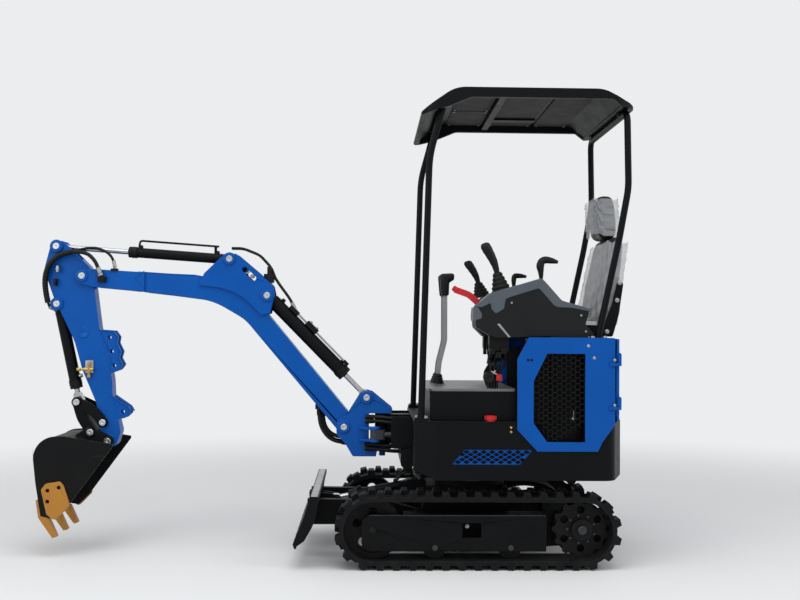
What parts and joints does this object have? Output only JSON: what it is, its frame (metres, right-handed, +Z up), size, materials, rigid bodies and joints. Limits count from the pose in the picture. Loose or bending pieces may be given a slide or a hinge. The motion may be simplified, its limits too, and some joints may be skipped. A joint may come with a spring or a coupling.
{
  "type": "mini excavator",
  "caption": "Small tracked digger with a swing boom, arm, linkage and toothed bucket, a dozer blade, a slewing house with seat and levers, and an open canopy.",
  "frame": {"origin": "on the ground under the slew axis", "axes": "+X forward to the bucket, +Y to the operator's left, +Z up"},
  "size_m": [2.7432, 0.93, 2.14],
  "materials": {
    "blue_paint": "gloss",
    "black_paint": "satin",
    "bucket_black": "satin",
    "yellow_paint": "satin",
    "red_paint": "gloss",
    "track_rubber": "matte",
    "black_iron": "satin",
    "bare_steel": "satin",
    "rod_chrome": "polished",
    "floor_aluminium": "brushed",
    "grille_black": "matte",
    "console_plastic": "matte",
    "black_plastic": "matte",
    "hose_rubber": "satin",
    "seat_vinyl": "satin"
  },
  "bodies": {
    "undercarriage": {"track_left": "track_rubber", "track_right": "track_rubber", "chassis": "black_paint", "slew_ring": "bare_steel", "track_frames": "black_paint", "idlers": "black_iron", "track_rollers": "black_iron", "sprockets": "black_iron", "travel_motors": "black_iron"},
    "blade": {"blade": "black_paint"},
    "blade_barrel": {"blade_cylinder": "black_paint"},
    "blade_rod": {"blade_cylinder_rod": "rod_chrome"},
    "house": {"body_skirt": "black_paint", "canopy_frame": "black_paint", "canopy_roof": "black_paint", "consoles": "console_plastic", "control_valves": "bare_steel", "deck": "black_paint", "door_hinges": "black_paint", "engine": "black_iron", "engine_box": "black_paint", "filler_cap": "red_paint", "floor_box": "black_paint", "floor_plate": "floor_aluminium", "hand_levers": "bare_steel", "headrest": "seat_vinyl", "joysticks": "black_plastic", "lock_lever": "red_paint", "seat_backrest": "seat_vinyl", "seat_cushion": "seat_vinyl", "side_grilles": "grille_black", "side_panels": "blue_paint", "side_vents": "grille_black", "tanks": "bare_steel", "travel_levers": "bare_steel", "turntable": "black_paint"},
    "door": {"rear_door": "blue_paint"},
    "swing_post": {"swing_post": "blue_paint"},
    "swing_barrel": {"swing_cylinder": "black_paint"},
    "swing_rod": {"swing_cylinder_rod": "rod_chrome"},
    "boom": {"boom": "blue_paint", "cylinder_bracket": "blue_paint", "boom_hoses": "hose_rubber"},
    "boom_barrel": {"boom_cylinder": "black_paint"},
    "boom_rod": {"boom_cylinder_rod": "rod_chrome"},
    "arm": {"arm": "blue_paint", "arm_hoses": "hose_rubber"},
    "arm_barrel": {"arm_cylinder": "black_paint", "arm_pipe": "hose_rubber"},
    "arm_rod": {"arm_cylinder_rod": "rod_chrome"},
    "bucket": {"bucket": "bucket_black", "cutters_and_teeth": "yellow_paint"},
    "bucket_barrel": {"bucket_cylinder": "black_paint"},
    "bucket_rod": {"bucket_cylinder_rod": "rod_chrome"},
    "rocker": {"rocker": "black_paint"},
    "link": {"bucket_link": "black_paint"}
  },
  "joints": [
    {"name": "slew", "type": "hinge", "parent": "undercarriage", "child": "house", "pos_m": [0, 0, 0.38], "axis": [0, 0, 1], "continuous": true},
    {"name": "swing", "type": "hinge", "parent": "house", "child": "swing_post", "pos_m": [0.42, 0, 0.58], "axis": [0, 0, 1], "range_deg": [-55, 55]},
    {"name": "boom_lift", "type": "hinge", "parent": "swing_post", "child": "boom", "pos_m": [0.603, 0, 0.591], "axis": [0, -1, 0], "range_deg": [-68, 38]},
    {"name": "arm_crowd", "type": "hinge", "parent": "boom", "child": "arm", "pos_m": [1.851, 0, 1.301], "axis": [0, 1, 0], "range_deg": [-89, 10]},
    {"name": "bucket_curl", "type": "hinge", "parent": "arm", "child": "bucket", "pos_m": [1.719, 0, 0.518], "axis": [0, 1, 0], "range_deg": [-12, 150]},
    {"name": "blade_lift", "type": "hinge", "parent": "undercarriage", "child": "blade", "pos_m": [0.262, 0, 0.19], "axis": [0, -1, 0], "range_deg": [-33, 8]},
    {"name": "rear_door", "type": "hinge", "parent": "house", "child": "door", "pos_m": [-0.625, 0.455, 0.84], "axis": [0, 0, -1], "range_deg": [0, 100]},
    {"name": "boom_cylinder_pivot", "type": "hinge", "parent": "boom", "child": "boom_barrel", "pos_m": [0.975, 0, 1.214], "axis": [0, -1, 0], "range_deg": [-1.45, 2.2]},
    {"name": "boom_cylinder_stroke", "type": "slide", "parent": "boom_barrel", "child": "boom_rod", "axis": [-0.7042, 0, -0.71], "range_m": [-0.1027, 0.1823]},
    {"name": "arm_cylinder_pivot", "type": "hinge", "parent": "boom", "child": "arm_barrel", "pos_m": [1.155, 0, 1.387], "axis": [0, -1, 0], "range_deg": [-0.93, 4.37]},
    {"name": "arm_cylinder_stroke", "type": "slide", "parent": "arm_barrel", "child": "arm_rod", "axis": [0.9978, 0, 0.0656], "range_m": [-0.2582, 0.0308]},
    {"name": "bucket_cylinder_pivot", "type": "hinge", "parent": "arm", "child": "bucket_barrel", "pos_m": [1.97, 0, 1.167], "axis": [0, -1, 0], "range_deg": [-0.77, 3.9]},
    {"name": "bucket_cylinder_stroke", "type": "slide", "parent": "bucket_barrel", "child": "bucket_rod", "axis": [-0.2143, 0, -0.9768], "range_m": [-0.0221, 0.2536]},
    {"name": "blade_cylinder_pivot", "type": "hinge", "parent": "undercarriage", "child": "blade_barrel", "pos_m": [0.286, 0, 0.316], "axis": [0, -1, 0], "range_deg": [-31.3, 7.97]},
    {"name": "blade_cylinder_stroke", "type": "slide", "parent": "blade_barrel", "child": "blade_rod", "axis": [0.9814, 0, -0.1921], "range_m": [-0.0198, 0.0756]},
    {"name": "swing_cylinder_pivot", "type": "hinge", "parent": "house", "child": "swing_barrel", "pos_m": [-0.13, 0.15, 0.56], "axis": [0, 0, 1], "range_deg": [-2.76, 2.76]},
    {"name": "swing_cylinder_stroke", "type": "slide", "parent": "swing_barrel", "child": "swing_rod", "axis": [0.9974, -0.0716, 0], "range_m": [-0.0958, 0.0958]},
    {"name": "rocker_pivot", "type": "hinge", "parent": "arm", "child": "rocker", "pos_m": [1.744, 0, 0.607], "axis": [0, -1, 0], "range_deg": [-102.08, 8.63]},
    {"name": "link_pivot", "type": "hinge", "parent": "bucket", "child": "link", "pos_m": [1.801, 0, 0.561], "axis": [0, -1, 0], "range_deg": [-8.62, 101.96]}
  ],
  "couplings": [
    {"joint": "boom_cylinder_pivot", "follows": "boom_lift", "ratio": -0.02497},
    {"joint": "boom_cylinder_stroke", "follows": "boom_lift", "m_per_rad": -0.15189},
    {"joint": "arm_cylinder_pivot", "follows": "arm_crowd", "ratio": -0.04349},
    {"joint": "arm_cylinder_stroke", "follows": "arm_crowd", "m_per_rad": 0.16493},
    {"joint": "bucket_cylinder_pivot", "follows": "bucket_curl", "ratio": 0.02267},
    {"joint": "bucket_cylinder_stroke", "follows": "bucket_curl", "m_per_rad": 0.09612},
    {"joint": "blade_cylinder_pivot", "follows": "blade_lift", "ratio": 0.93333},
    {"joint": "blade_cylinder_stroke", "follows": "blade_lift", "m_per_rad": -0.12784},
    {"joint": "swing_cylinder_pivot", "follows": "swing", "ratio": 0.04111},
    {"joint": "swing_cylinder_stroke", "follows": "swing", "m_per_rad": -0.09769},
    {"joint": "rocker_pivot", "follows": "bucket_curl", "ratio": -0.67723},
    {"joint": "link_pivot", "follows": "bucket_curl", "ratio": 0.67637}
  ]
}
